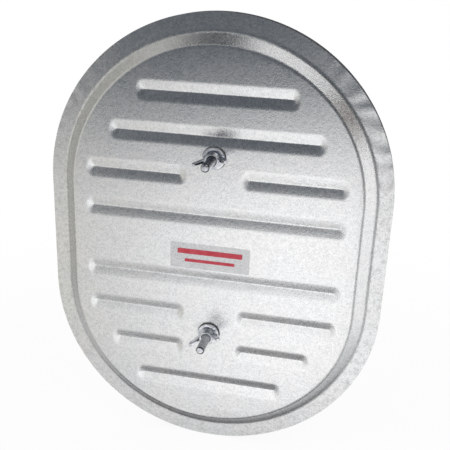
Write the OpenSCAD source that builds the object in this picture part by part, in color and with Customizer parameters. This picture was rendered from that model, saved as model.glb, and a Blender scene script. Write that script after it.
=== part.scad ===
// Sandwich access door for a sheet metal duct, with an obround outline.
// Two stamped panels with foam gaskets are drawn together by two carriage bolts with wing nuts,
// and two springs push them apart. The edge of the duct's cut-out goes between the gaskets.
// Frame: x to the right, z up along the door, y into the duct, so the door's face looks along -y.
// The origin is the middle of the outer gasket's back face, which lies on the duct's wall.

/* [Door] */
// Overall width of the flange
door_w = 320; // [260:1:400]
// Overall height of the flange
door_h = 424; // [400:1:520]
// Thickness of the sheet steel
sheet_t = 1.0; // [0.7:0.05:1.5]
// Flange beside the pan, along the straight sides
flange_side = 14.5; // [13:0.5:20]
// Flange beyond the pan, at the round ends
flange_end = 16.5; // [13:0.5:22]
// Height of the pan above the flange
pan_depth = 9.5; // [7:0.5:13]
// Slope of the pan's wall, measured from the flange
wall_angle = 42; // [36:1:60]
// Bend radius of the wall, at the middle of the sheet
bend_r = 4.5; // [1.5:0.25:5]

/* [Grooves] */
// Width of a stiffening groove
groove_w = 19; // [12:0.5:22]
// Depth of a stiffening groove
groove_depth = 3.1; // [1.5:0.1:4]
// Slope length of a groove's hipped end
groove_hip = 6; // [3:0.5:12]
// Height of the first row above the middle of the door
groove_first = 31.6; // [26:0.1:36]
// Distance between rows
groove_pitch = 37.3; // [34:0.1:40]
// Plain margin beyond the ends of the two middle rows, to the pan's edge
groove_mid_margin = 12; // [10:0.5:30]
// Plain margin beyond the ends of the outer rows, to the pan's edge
groove_outer_margin = 24; // [14:0.5:40]
// Plain width left in a row that stops beside a bolt
groove_break = 51; // [40:1:80]

/* [Gaskets] */
// Thickness of a foam gasket
gasket_t = 2.4; // [1.5:0.1:4]
// Width of a foam gasket
gasket_w = 11.5; // [8:0.5:12]
// Flange left bare outside the gasket
gasket_inset = 1.0; // [0.5:0.25:3]
// Open slot between the two gaskets, as the door is drawn
slot = 6; // [5:0.5:10]

/* [Bolts] */
// Diameter of the bolt's thread
bolt_d = 7.94; // [6:0.01:9.5]
// Length of the bolt under its head
bolt_len = 69.85; // [64:0.05:90]
// Diameter of the domed head
head_d = 18.3; // [15:0.1:22]
// Height of the domed head
head_h = 4.3; // [3:0.1:6]
// Width of the square neck
neck_w = 8.1; // [6:0.05:9.8]
// Thickness of the rubber seal under the head
head_seal_t = 1.0; // [0.6:0.1:2]
// Diameter of the rubber seal under the head
head_seal_d = 20; // [17:0.5:24]
// Diameter of the push-on retainer
retainer_d = 15.6; // [13:0.1:17]
// Thickness of the push-on retainer
retainer_t = 1.0; // [0.6:0.1:2]

/* [Wing nuts] */
// Diameter of the nut's round base
hub_d = 15.8; // [13:0.1:17]
// Diameter of the nut's top
hub_top_d = 12.4; // [11:0.1:14]
// Height of the nut's body
hub_h = 9; // [7:0.25:12]
// Width over both wings
wing_span = 31.8; // [27:0.1:38]
// Height of the wing tips above the base
wing_h = 17; // [14:0.5:20]
// Thickness of a wing
wing_t = 3.4; // [1.8:0.1:4]
// Radius of a wing's rounded tip
wing_tip_r = 2.6; // [1.5:0.1:3.5]
// Turn of the upper nut's wings from level
upper_wing_turn = 11; // [-90:1:90]
// Turn of the lower nut's wings from level
lower_wing_turn = 20; // [-90:1:90]

/* [Washers] */
// Diameter of the flat washer
washer_d = 20.6; // [18:0.1:26]
// Thickness of the flat washer
washer_t = 2.0; // [1:0.1:3]
// Diameter of the rubber sealing washer
seal_d = 21.8; // [18:0.1:28]
// Thickness of the rubber sealing washer
seal_t = 1.6; // [0.8:0.1:3]

/* [Springs] */
// Wire diameter
wire_d = 1.5; // [1:0.1:2]
// Mean diameter of the wide end, at the inner panel
spring_wide_d = 14.6; // [13:0.1:15]
// Mean diameter of the narrow end, at the outer panel
spring_narrow_d = 12; // [11:0.1:14]
// Number of turns
spring_turns = 7.5; // [5:0.5:9]

/* [Label] */
// Width of the clear film
label_w = 76.2; // [50:0.1:100]
// Height of the clear film
label_h = 25.4; // [16:0.1:30]
// Height of the film's middle above the middle of the door
label_z = -9; // [-9:0.5:9]
// Shift of the film's middle to the right
label_x = -1.5; // [-10:0.5:10]
// Corner radius of the film
label_corner_r = 1.5; // [0.5:0.25:4]
// Thickness of the film
film_t = 0.15; // [0.1:0.05:0.4]
// Length of the long red bar
long_bar_w = 62; // [40:1:66]
// Height of the long red bar
long_bar_h = 5; // [2:0.25:7]
// Length of the short red bar
short_bar_w = 48; // [30:1:60]
// Height of the short red bar
short_bar_h = 3; // [1.5:0.25:5]
// Distance between the middles of the red bars
bar_pitch = 9; // [7:0.5:11]

/* [Clearances] */
// Radial play of the bolt in its nut and its retainer
thread_play = 0.05; // [0.02:0.01:0.1]
// Radial play of the bolt in the panel and the flat washer
hole_play = 0.9; // [0.5:0.1:1.5]
// Radial play of the bolt in the rubber washer
seal_play = 0.3; // [0.2:0.05:0.6]
// Play on each side of the square neck
neck_play = 0.1; // [0.05:0.05:0.3]
// Gap between faces that turn or flex against each other
face_play = 0.05; // [0.02:0.01:0.2]

/* [Hidden] */

// Colours
galvanised = [0.76, 0.77, 0.78];
zinc = [0.80, 0.82, 0.85];
foam_grey = [0.20, 0.20, 0.21];
rubber_black = [0.10, 0.10, 0.10];
spring_steel = [0.55, 0.56, 0.58];
clear_film = [0.88, 0.88, 0.90, 0.5];
print_red = [0.75, 0.20, 0.24];

// Smoothness of round faces
round_fn = 96;
// Steps in a drawn arc
bend_steps = 4;
tip_steps = 6;
// Overlap where two solids of one piece are joined, and overcut where one is cut
lap = 1;

// Outline of the flange and of the pan's foot: half width and half of the straight side
flange_r = door_w / 2;
flange_s = (door_h - door_w) / 2;
foot_r = flange_r - flange_side;
pan_s = door_h / 2 - flange_end - foot_r;

// Pan profile: wall run between its sharp corners, and the bends' tangent length
wall_run = pan_depth / tan(wall_angle);
bend_tangent = bend_r * tan(wall_angle / 2);
pan_r = foot_r - wall_run;

// Rows of grooves that fit on the pan on each side of the middle
row_count = floor((pan_s + pan_r - groove_first - groove_w) / groove_pitch) + 1;
// Row that is broken beside the bolts on both halves, and the next one, on the lower half alone
break_row = 1;
lower_break_row = 2;
bolt_z = groove_first + (break_row + 0.5) * groove_pitch;

// Heights towards the viewer, from the duct's wall
pan_face = gasket_t + sheet_t + pan_depth;
washer_base = pan_face + seal_t;
nut_base = washer_base + washer_t + face_play;
inner_foot = -slot - gasket_t;
inner_face = inner_foot - sheet_t - pan_depth;
bolt_seat = inner_face - head_seal_t;
retainer_base = inner_face + sheet_t;

// Radii around the bolt
bolt_r = bolt_d / 2;
nut_bore_r = bolt_r + thread_play;
panel_hole_r = bolt_r + hole_play;
tip_chamfer = 1;
dome_r = (pow(head_d / 2, 2) + pow(head_h, 2)) / (2 * head_h);

// Spring: room between the retainer and the outer panel, and its helix
spring_base = retainer_base + retainer_t + face_play;
spring_len = pan_face - sheet_t - face_play - spring_base;
wire_sides = 8;
rings_per_turn = 16;
ring_count = round(spring_turns * rings_per_turn);
// Pitch of the closed turn at each end, in wire diameters
closed_pitch = 1.1;

// Wing: where its outline leaves the body
wing_root = hub_top_d / 2 - 1.2;
wing_tip_x = wing_span / 2 - wing_tip_r;
wing_tip_z = wing_h - wing_tip_r;
wing_foot_z = 0.8;

print_t = film_t / 2;
print_corner_r = 0.8;

// Points of an arc about c, from angle a to angle b
function arc(c, r, a, b, steps) =
    [for (i = [0 : steps]) let (t = a + (b - a) * i / steps) [c[0] + r * cos(t), c[1] + r * sin(t)]];

// Half width of the flat top of the pan at height z from the middle
function pan_half_width(z) =
    let (over = max(abs(z) - pan_s, 0)) sqrt(max(pan_r * pan_r - over * over, 0));

function row_z(row) = groove_first + row * groove_pitch;
function row_half_len(row) =
    pan_half_width(row_z(row)) - (row <= break_row ? groove_mid_margin : groove_outer_margin);
function row_broken(row, side) = row == break_row || (row == lower_break_row && side < 0);

// Section of the sheet from the middle of the pan to just past its foot, with both bends
function pan_section() =
    let (h = sheet_t / 2,
         foot_c = [foot_r + bend_tangent, h + bend_r],
         top_c = [pan_r - bend_tangent, h + pan_depth - bend_r],
         end_r = foot_r + bend_tangent + lap)
    concat(
        [[0, pan_depth], [0, pan_depth + sheet_t]],
        arc(top_c, bend_r + h, 90, 90 - wall_angle, bend_steps),
        arc(foot_c, bend_r - h, 270 - wall_angle, 270, bend_steps),
        [[end_r, sheet_t], [end_r, 0]],
        arc(foot_c, bend_r + h, 270, 270 - wall_angle, bend_steps),
        arc(top_c, bend_r - h, 90 - wall_angle, 90, bend_steps));

// Places its children on the face of the door: x right, y up the door, z towards the viewer
module on_face(height = 0) {
    rotate([90, 0, 0]) translate([0, 0, height]) children();
}

// Places its children on a bolt's axis: side is 1 for the upper bolt and -1 for the lower one
module on_bolt(side, height = 0) {
    on_face(height) translate([0, side * bolt_z, 0]) children();
}

// Obround plate of radius r, with straight sides of 2 s
module obround_plate(r, s, t) {
    translate([-r, -s, 0]) cube([2 * r, 2 * s, t]);
    for (side = [1, -1])
        translate([0, side * s, 0]) cylinder(r = r, h = t, $fn = round_fn);
}

// Sheet of the pan: the section swept along the straight sides and turned round both ends
module pan_sheet() {
    rotate([90, 0, 0]) linear_extrude(2 * pan_s, center = true) {
        polygon(pan_section());
        mirror([1, 0]) polygon(pan_section());
    }
    for (side = [0, 180])
        rotate([0, 0, side]) translate([0, pan_s, 0])
            rotate_extrude(angle = 180, $fn = round_fn) polygon(pan_section());
}

// V-shaped ridge with hipped ends, point down, with its flat top at height 0 and a wall above it
module v_ridge(half_len, above) {
    half_w = groove_w / 2;
    intersection() {
        rotate([90, 0, 90]) linear_extrude(2 * half_len, center = true)
            polygon([[-half_w, above], [-half_w, 0], [0, -groove_depth], [half_w, 0], [half_w, above]]);
        rotate([90, 0, 0]) linear_extrude(groove_w, center = true)
            polygon([[-half_len, above], [-half_len, 0], [groove_hip - half_len, -groove_depth],
                     [half_len - groove_hip, -groove_depth], [half_len, 0], [half_len, above]]);
    }
}

// All rows of ridges, whole or broken beside the bolts
module ridge_rows(above) {
    for (side = [1, -1], row = [0 : row_count - 1]) {
        full = row_half_len(row);
        piece = (full - groove_break / 2) / 2;
        translate([0, side * row_z(row), 0])
            if (row_broken(row, side))
                for (end = [1, -1])
                    translate([end * (full - piece), 0, 0]) v_ridge(piece, above);
            else
                v_ridge(full, above);
    }
}

// Stamped panel with its flange's back at height 0; the bolt holes are left to the pieces
module stamping() {
    difference() {
        union() {
            difference() {
                obround_plate(flange_r, flange_s, sheet_t);
                translate([0, 0, -lap])
                    obround_plate(foot_r + bend_tangent + lap / 2, pan_s, sheet_t + 2 * lap);
            }
            pan_sheet();
            translate([0, 0, pan_depth]) ridge_rows(sheet_t / 2);
        }
        translate([0, 0, pan_depth + sheet_t]) ridge_rows(lap);
    }
}

module outer_panel() {
    color(galvanised) difference() {
        on_face(gasket_t) stamping();
        for (side = [1, -1])
            on_bolt(side, gasket_t) cylinder(r = panel_hole_r, h = 2 * pan_depth, $fn = round_fn);
    }
}

module inner_panel() {
    hole_w = neck_w + 2 * neck_play;
    color(galvanised) difference() {
        on_face(inner_foot) mirror([0, 0, 1]) stamping();
        for (side = [1, -1])
            on_bolt(side, inner_face - lap)
                translate([-hole_w / 2, -hole_w / 2, 0]) cube([hole_w, hole_w, sheet_t + 2 * lap]);
    }
}

// Foam ring that is bonded to the back of a flange
module gasket() {
    outer_r = flange_r - gasket_inset;
    color(foam_grey) difference() {
        obround_plate(outer_r, flange_s, gasket_t);
        translate([0, 0, -lap]) obround_plate(outer_r - gasket_w, flange_s, gasket_t + 2 * lap);
    }
}

module outer_gasket() { on_face(0) gasket(); }
module inner_gasket() { on_face(inner_foot) gasket(); }

// Carriage bolt from its seat upwards: domed head below, short square neck, shank with a chamfered tip
module bolt() {
    neck_len = head_seal_t + sheet_t;
    color(zinc) {
        intersection() {
            translate([0, 0, dome_r - head_h]) sphere(r = dome_r, $fn = round_fn);
            translate([0, 0, -head_h]) cylinder(r = head_d / 2, h = head_h, $fn = round_fn);
        }
        translate([-neck_w / 2, -neck_w / 2, -lap]) cube([neck_w, neck_w, neck_len + lap]);
        cylinder(r = bolt_r, h = bolt_len - tip_chamfer, $fn = round_fn);
        translate([0, 0, bolt_len - tip_chamfer])
            cylinder(r1 = bolt_r, r2 = bolt_r - tip_chamfer, h = tip_chamfer, $fn = round_fn);
    }
}

module upper_bolt() { on_bolt(1, bolt_seat) bolt(); }
module lower_bolt() { on_bolt(-1, bolt_seat) bolt(); }

// Outline of one wing: out from the body's foot, round the tip and back to the body's top
function wing_outline() = concat(
    [[wing_root, wing_foot_z], [hub_d / 2 + 1.5, wing_foot_z + 2.2]],
    arc([wing_tip_x, wing_tip_z], wing_tip_r, -25, 180, tip_steps),
    [[wing_tip_x - wing_tip_r - 0.8, hub_h + 1.2], [wing_root, hub_h - 0.4]]);

module wing_nut(turn) {
    color(zinc) rotate([0, 0, turn]) difference() {
        union() {
            cylinder(r1 = hub_d / 2, r2 = hub_top_d / 2, h = hub_h, $fn = round_fn);
            for (side = [0, 180])
                rotate([90, 0, side]) linear_extrude(wing_t, center = true) polygon(wing_outline());
        }
        translate([0, 0, -lap]) cylinder(r = nut_bore_r, h = hub_h + 2 * lap, $fn = round_fn);
    }
}

module upper_wing_nut() { on_bolt(1, nut_base) wing_nut(upper_wing_turn); }
module lower_wing_nut() { on_bolt(-1, nut_base) wing_nut(lower_wing_turn); }

// Flat ring of thickness t, for washers
module ring(outer_d, bore_r, t) {
    difference() {
        cylinder(r = outer_d / 2, h = t, $fn = round_fn);
        translate([0, 0, -lap]) cylinder(r = bore_r, h = t + 2 * lap, $fn = round_fn);
    }
}

module flat_washer() { color(zinc) ring(washer_d, panel_hole_r, washer_t); }
module upper_flat_washer() { on_bolt(1, washer_base) flat_washer(); }
module lower_flat_washer() { on_bolt(-1, washer_base) flat_washer(); }

module seal_washer() { color(rubber_black) ring(seal_d, bolt_r + seal_play, seal_t); }
module upper_seal_washer() { on_bolt(1, pan_face) seal_washer(); }
module lower_seal_washer() { on_bolt(-1, pan_face) seal_washer(); }

// Rubber seal between the bolt's head and the inner panel, with a square hole for the neck
module head_seal() {
    hole_w = neck_w + 2 * neck_play;
    color(rubber_black) difference() {
        cylinder(r = head_seal_d / 2, h = head_seal_t, $fn = round_fn);
        translate([-hole_w / 2, -hole_w / 2, -lap]) cube([hole_w, hole_w, head_seal_t + 2 * lap]);
    }
}

module upper_head_seal() { on_bolt(1, bolt_seat) head_seal(); }
module lower_head_seal() { on_bolt(-1, bolt_seat) head_seal(); }

module bolt_retainer() { color(spring_steel) ring(retainer_d, nut_bore_r, retainer_t); }
module upper_bolt_retainer() { on_bolt(1, retainer_base) bolt_retainer(); }
module lower_bolt_retainer() { on_bolt(-1, retainer_base) bolt_retainer(); }

// Height of the spring wire's middle after a number of turns, with one closed turn at each end
function wire_height(turns) =
    let (end_rise = closed_pitch * wire_d,
         low = wire_d / 2,
         high = spring_len - wire_d / 2)
    turns < 1 ? low + end_rise * turns
    : turns > spring_turns - 1 ? high - end_rise * (spring_turns - turns)
    : low + end_rise + (high - low - 2 * end_rise) * (turns - 1) / (spring_turns - 2);

function wire_mean_r(turns) =
    (spring_wide_d + (spring_narrow_d - spring_wide_d) * turns / spring_turns) / 2;

// One ring of points round the wire
function wire_ring(turns) =
    [for (k = [0 : wire_sides - 1])
        let (a = 360 * (k + 0.5) / wire_sides,
             r = wire_mean_r(turns) + wire_d / 2 * cos(a),
             t = 360 * turns)
        [r * cos(t), r * sin(t), wire_height(turns) + wire_d / 2 * sin(a)]];

module spring() {
    points = [for (i = [0 : ring_count]) each wire_ring(i / rings_per_turn)];
    sides = [for (i = [0 : ring_count - 1], k = [0 : wire_sides - 1])
        let (a = i * wire_sides, next = (k + 1) % wire_sides)
        [a + k, a + wire_sides + k, a + wire_sides + next, a + next]];
    first_cap = [for (k = [0 : wire_sides - 1]) k];
    last_cap = [for (k = [wire_sides - 1 : -1 : 0]) ring_count * wire_sides + k];
    color(spring_steel) polyhedron(points, concat([first_cap], sides, [last_cap]));
}

module upper_spring() { on_bolt(1, spring_base) spring(); }
module lower_spring() { on_bolt(-1, spring_base) spring(); }

// Thin plate with rounded corners, centred
module rounded_plate(w, h, r, t) {
    linear_extrude(t) {
        square([w - 2 * r, h], center = true);
        square([w, h - 2 * r], center = true);
        for (x = [1, -1], y = [1, -1])
            translate([x * (w / 2 - r), y * (h / 2 - r)]) circle(r = r, $fn = 32);
    }
}

module on_label(height) {
    on_face(height) translate([label_x, label_z, 0]) children();
}

module label_film() {
    color(clear_film) on_label(pan_face) rounded_plate(label_w, label_h, label_corner_r, film_t);
}

// Two plain bars printed on the film
module label_print() {
    color(print_red) on_label(pan_face + film_t) {
        translate([0, bar_pitch / 2, 0]) rounded_plate(long_bar_w, long_bar_h, print_corner_r, print_t);
        translate([0, -bar_pitch / 2, 0]) rounded_plate(short_bar_w, short_bar_h, print_corner_r, print_t);
    }
}

outer_panel();
outer_gasket();
inner_panel();
inner_gasket();
upper_bolt();
lower_bolt();
upper_wing_nut();
lower_wing_nut();
upper_flat_washer();
lower_flat_washer();
upper_seal_washer();
lower_seal_washer();
upper_head_seal();
lower_head_seal();
upper_bolt_retainer();
lower_bolt_retainer();
upper_spring();
lower_spring();
label_film();
label_print();
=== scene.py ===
"""Sandwich access door for a sheet metal duct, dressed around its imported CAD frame.

Lengths are in metres. x runs to the right, z up the door and y into the duct, so the face looks along -y.
"""

import math

import bmesh
import bpy
from bmesh.types import BMEdge, BMFace, BMVert
from bpy.props import FloatProperty, FloatVectorProperty, IntProperty, PointerProperty
from bpy.types import Operator, Panel, PropertyGroup
from mathutils import Matrix, Vector, noise


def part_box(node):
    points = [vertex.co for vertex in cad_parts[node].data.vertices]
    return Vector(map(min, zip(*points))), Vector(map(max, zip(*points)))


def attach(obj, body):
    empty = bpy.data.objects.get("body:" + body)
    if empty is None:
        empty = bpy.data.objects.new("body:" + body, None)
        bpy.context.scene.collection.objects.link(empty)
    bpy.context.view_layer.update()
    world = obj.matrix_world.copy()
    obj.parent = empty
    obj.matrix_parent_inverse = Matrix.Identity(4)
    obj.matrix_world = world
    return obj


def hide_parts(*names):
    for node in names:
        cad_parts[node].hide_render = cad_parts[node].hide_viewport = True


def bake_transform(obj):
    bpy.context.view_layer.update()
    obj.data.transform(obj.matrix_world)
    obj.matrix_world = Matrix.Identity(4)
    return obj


bl_info = {
    "name": "Duct access door",
    "version": (1, 0, 0),
    "blender": (4, 5, 0),
    "location": "3D View > Sidebar > Duct door",
    "description": "Models and finishes a sandwich access door for a sheet metal duct",
    "category": "Object",
}

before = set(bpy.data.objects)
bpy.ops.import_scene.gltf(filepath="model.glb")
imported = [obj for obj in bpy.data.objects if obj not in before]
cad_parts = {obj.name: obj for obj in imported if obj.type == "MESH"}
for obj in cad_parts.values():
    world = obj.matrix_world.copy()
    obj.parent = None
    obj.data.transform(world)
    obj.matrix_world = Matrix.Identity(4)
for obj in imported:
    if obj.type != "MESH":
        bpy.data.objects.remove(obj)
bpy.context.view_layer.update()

MM = 0.001
# Distance under which two vertices are the same one
WELD = 2e-6
# Corners of the rings that are bridged to make a bolt or a head seal
RING_STEPS = 64
# Both bolts, with the side of the door's middle that they are on
SIDES = (("upper", 1), ("lower", -1))

PAN_LOW, PAN_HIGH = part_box("outer_panel")
INNER_LOW, INNER_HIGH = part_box("inner_panel")
BOLT_LOW, BOLT_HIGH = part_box("upper_bolt")
NUT_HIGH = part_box("upper_wing_nut")[1]
FILM_LOW, FILM_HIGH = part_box("label_film")
# Height of the bolts above and below the middle of the door
BOLT_Z = (BOLT_LOW.z + BOLT_HIGH.z) / 2
# Middle of the gap between the pans
GAP_Y = (PAN_HIGH.y + INNER_LOW.y) / 2
# Turns a shape that is drawn along z so that it points at the viewer
TO_VIEWER = Matrix.Rotation(math.pi / 2, 4, "X")


def length(name, description, value):
    """A size in metres that a user may change."""
    return FloatProperty(name=name, description=description, default=value, min=0.0, precision=5,
                         subtype="DISTANCE", unit="LENGTH")


def angle(name, description, degrees):
    """An angle that a user may change."""
    return FloatProperty(name=name, description=description, default=math.radians(degrees),
                         subtype="ANGLE", unit="ROTATION")


def colour(name, description, value):
    """A colour that a user may change."""
    return FloatVectorProperty(name=name, description=description, default=value, size=3,
                               min=0.0, max=1.0, subtype="COLOR")


def share(name, description, value):
    """A number from none to all that a user may change."""
    return FloatProperty(name=name, description=description, default=value, min=0.0, max=1.0,
                         subtype="FACTOR")


class PanSizes(PropertyGroup):
    """Sizes of the two stamped pans and their foam rings."""

    half_width: length("Half width", "From the door's middle to the rim at its side", PAN_HIGH.x)
    half_height: length("Half height", "From the door's middle to the rim at its end", PAN_HIGH.z)
    sheet: length("Sheet", "Thickness of the sheet steel", 1.0 * MM)
    flange_side: length("Flange at the sides", "Flat rim beside the straight walls", 14.5 * MM)
    flange_end: length("Flange at the ends", "Flat rim beyond the round walls", 16.5 * MM)
    wall_slope: angle("Wall slope", "Slope of the pan's wall from the flange", 42)
    bend_radius: length("Bend radius", "Radius of the wall's bend to the flat, at mid sheet", 4.5 * MM)
    foot_radius: length("Foot radius", "Radius of the wall's bend to the flange, at mid sheet", 6.5 * MM)
    groove_width: length("Groove width", "Width of a stiffening groove", 19 * MM)
    groove_depth: length("Groove depth", "Depth of a stiffening groove", 3.1 * MM)
    groove_end: length("Groove end", "Length of a groove's round end", 7 * MM)
    groove_first: length("First row", "Height of the first row above the middle", 31.6 * MM)
    groove_pitch: length("Row pitch", "Distance between rows of grooves", 37.3 * MM)
    groove_rows: IntProperty(name="Rows", description="Rows on each half of the pan", default=4, min=1)
    middle_margin: length("Middle margin", "Flat left beyond the two middle rows", 12 * MM)
    outer_margin: length("Outer margin", "Flat left beyond the outer rows", 24 * MM)
    groove_break: length("Groove break", "Flat left in a row that stops beside a bolt", 51 * MM)
    bolt_hole: length("Bolt hole", "Radius of the outer pan's bolt holes", 4.87 * MM)
    neck_hole: length("Neck hole", "Half width of the inner pan's square holes", 4.15 * MM)
    wave: length("Wave", "Height of the faint waves in the pan's flat", 0.05 * MM)
    ripple: length("Ripple", "Height of the press ripples in the flange", 0.8 * MM)
    ripple_length: length("Ripple length", "Distance between the press ripples", 18 * MM)
    foam_width: length("Foam width", "Width of a foam ring", 11.5 * MM)
    foam_round: length("Foam rounding", "Rounding of a foam ring's edges", 0.5 * MM)
    foam_joint: length("Foam joint", "Slit where a foam strip's ends meet", 0.5 * MM)


class HardwareSizes(PropertyGroup):
    """Sizes of the bolts, nuts, washers, seals, retainers and springs."""

    bolt_radius: length("Bolt radius", "Radius over the thread's crests", 3.97 * MM)
    thread_pitch: length("Thread pitch", "Rise of the thread in one turn", 25.4 * MM / 18)
    tip_chamfer: length("Tip chamfer", "Chamfer at the bolt's tip", 1.0 * MM)
    tip_dome: length("Tip dome", "Height of the dome on the bolt's tip", 0.6 * MM)
    head_radius: length("Head radius", "Radius of the domed head", 9.15 * MM)
    head_height: length("Head height", "Height of the domed head", 4.3 * MM)
    neck_half: length("Neck", "Half width of the square neck", 4.05 * MM)
    neck_length: length("Neck length", "Length of the square neck", 2.0 * MM)
    hub_radius: length("Hub radius", "Radius of a wing nut's base", 7.9 * MM)
    hub_top_radius: length("Hub top radius", "Radius of a wing nut's top", 6.2 * MM)
    hub_height: length("Hub height", "Height of a wing nut's body", 9 * MM)
    nut_bore: length("Nut bore", "Radius of a wing nut's bore", 4.02 * MM)
    wing_thickness: length("Wing thickness", "Thickness of a wing near its tip", 3.4 * MM)
    upper_turn: angle("Upper turn", "Turn of the upper nut's wings from level", 11)
    lower_turn: angle("Lower turn", "Turn of the lower nut's wings from level", 20)
    washer_edge: length("Washer edge", "Rounding of a flat washer's edges", 0.3 * MM)
    seal_bore: length("Seal bore", "Radius of a rubber washer's bore", 4.27 * MM)
    wire_radius: length("Wire radius", "Radius of the spring wire", 0.75 * MM)
    spring_wide: length("Wide end", "Mean radius of a spring at the inner pan", 7.3 * MM)
    spring_narrow: length("Narrow end", "Mean radius of a spring at the outer pan", 6.0 * MM)
    spring_turns: FloatProperty(name="Spring turns", description="Turns of a spring", default=7.5, min=3)


class DoorColours(PropertyGroup):
    """Colours of the door's finishes."""

    sheet_light: colour("Sheet, light", "Bright crystals of the galvanised sheet", (1.0, 0.99, 0.985))
    sheet_cool: colour("Sheet, cool", "Bluish clouds in the galvanised sheet", (0.975, 0.985, 0.99))
    sheet_dark: colour("Sheet, dark", "Dull specks of the galvanised sheet", (0.75, 0.76, 0.77))
    sheet_stain: colour("Sheet, stain", "Dull blotches on the flanges", (0.64, 0.64, 0.63))
    cut_edge: colour("Cut edge", "Bare steel at the sheet's cut edges", (0.20, 0.20, 0.21))
    zinc_light: colour("Zinc, light", "Bright zinc plate", (0.86, 0.87, 0.90))
    zinc_dark: colour("Zinc, dark", "Duller patches of zinc plate", (0.52, 0.54, 0.59))
    # Painted shade for the thread's roots, given as a near black colour of the zinc
    thread_root_shade: colour("Thread root", "Shade painted into the roots of a thread", (0.05, 0.05, 0.055))
    spring_light: colour("Spring, light", "Drawn spring steel", (0.50, 0.51, 0.53))
    spring_dark: colour("Spring, dark", "Oiled spring steel", (0.26, 0.27, 0.29))
    foam_light: colour("Foam, light", "Skin of the foam", (0.060, 0.061, 0.064))
    foam_dark: colour("Foam, dark", "Pores of the foam", (0.016, 0.016, 0.017))
    rubber_light: colour("Rubber, light", "Dusty rubber", (0.13, 0.135, 0.135))
    rubber_dark: colour("Rubber, dark", "Clean rubber", (0.05, 0.05, 0.05))
    film: colour("Film", "Clear film", (0.80, 0.80, 0.82))
    print_light: colour("Print, light", "Thin red ink", (0.62, 0.075, 0.105))
    print_dark: colour("Print, dark", "Full red ink", (0.47, 0.020, 0.045))


class StageLevels(PropertyGroup):
    """Light and floor around the door."""

    lens: FloatProperty(name="Lens", description="Focal length of the camera in millimetres", default=56.0)
    sky: share("Sky", "Level of the soft light from all round", 0.75)
    lamp: FloatProperty(name="Lamps", description="Power of each soft lamp in watts", default=4.0, min=0.0)
    floor: colour("Floor", "Colour of the floor", (0.90, 0.90, 0.90))
    floor_glow: share("Floor glow", "Share of the floor that is plain white to the camera", 0.92)
    dark_card: share("Dark card", "Brightness of the dark card in front of the door", 0.09)


# Shader expressions


class Wire:
    """One output of a shader tree, for use in plain expressions."""

    def __init__(self, finish, socket):
        self.finish = finish
        self.socket = socket

    def math(self, operation, *values):
        """A Math node on one or two values."""
        return self.finish.node("ShaderNodeMath", {"operation": operation}, dict(enumerate(values)))

    def __add__(self, other):
        return self.math("ADD", self, other)

    def __radd__(self, other):
        return self.math("ADD", other, self)

    def __sub__(self, other):
        return self.math("SUBTRACT", self, other)

    def __rsub__(self, other):
        return self.math("SUBTRACT", other, self)

    def __mul__(self, other):
        return self.math("MULTIPLY", self, other)

    def __rmul__(self, other):
        return self.math("MULTIPLY", other, self)

    def __abs__(self):
        return self.math("ABSOLUTE", self)


class Finish:
    """A material or world whose nodes are made by one method."""

    def __init__(self, name, world=False):
        self.block = bpy.data.worlds.new(name) if world else bpy.data.materials.new(name)
        self.block.use_nodes = True
        self.tree = self.block.node_tree
        self.tree.nodes.clear()

    def node(self, kind, settings=None, inputs=None, output=0):
        """Makes a node: its settings first, then the values or links of its inputs."""
        made = self.tree.nodes.new(kind)
        for name, value in (settings or {}).items():
            setattr(made, name, value)
        for key, value in (inputs or {}).items():
            if isinstance(value, Wire):
                self.tree.links.new(value.socket, made.inputs[key])
            else:
                made.inputs[key].default_value = value
        return Wire(self, made.outputs[output]) if made.outputs else None

    def place(self):
        """Object coordinates."""
        return self.node("ShaderNodeTexCoord", output="Object")

    def split(self, vector, axes):
        """The named parts of a vector."""
        return [self.node("ShaderNodeSeparateXYZ", {}, {0: vector}, axis) for axis in axes]

    def stretched(self, scale):
        """Object coordinates, stretched along each axis."""
        return self.node("ShaderNodeMapping", {"vector_type": "POINT"},
                         {"Vector": self.place(), "Scale": scale})

    def cloud(self, where, scale, detail):
        """Soft noise from none to one."""
        return self.node("ShaderNodeTexNoise", {}, {"Vector": where, "Scale": scale, "Detail": detail})

    def cells(self, where, scale, output):
        """Small cells: the colour of each, or the distance from its middle."""
        return self.node("ShaderNodeTexVoronoi", {}, {"Vector": where, "Scale": scale}, output)

    def ramp(self, value, low, high):
        """Smooth step from none at low to one at high."""
        return self.node("ShaderNodeMapRange", {"interpolation_type": "SMOOTHSTEP"},
                         {0: value, 1: low, 2: high})

    def mix(self, amount, first, second):
        """Mixes two colours."""
        return self.node("ShaderNodeMix", {"data_type": "RGBA"},
                         {0: amount, 6: opaque(first), 7: opaque(second)}, 2)

    def bump(self, height, strength, distance):
        """Fine relief, as a normal."""
        return self.node("ShaderNodeBump", {},
                         {"Strength": strength, "Distance": distance, "Height": height})

    def surface(self, **inputs):
        """Ends a material in one plain surface shader."""
        named = {key.replace("_", " "): value for key, value in inputs.items()}
        shader = self.node("ShaderNodeBsdfPrincipled", {}, named)
        self.node("ShaderNodeOutputMaterial", {}, {"Surface": shader})
        return self.block


def opaque(value):
    """A colour with full alpha, or a wire as it is."""
    return value if isinstance(value, Wire) else (*value, 1.0)


# Finishes, with the scales of their patterns in features per metre


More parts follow.
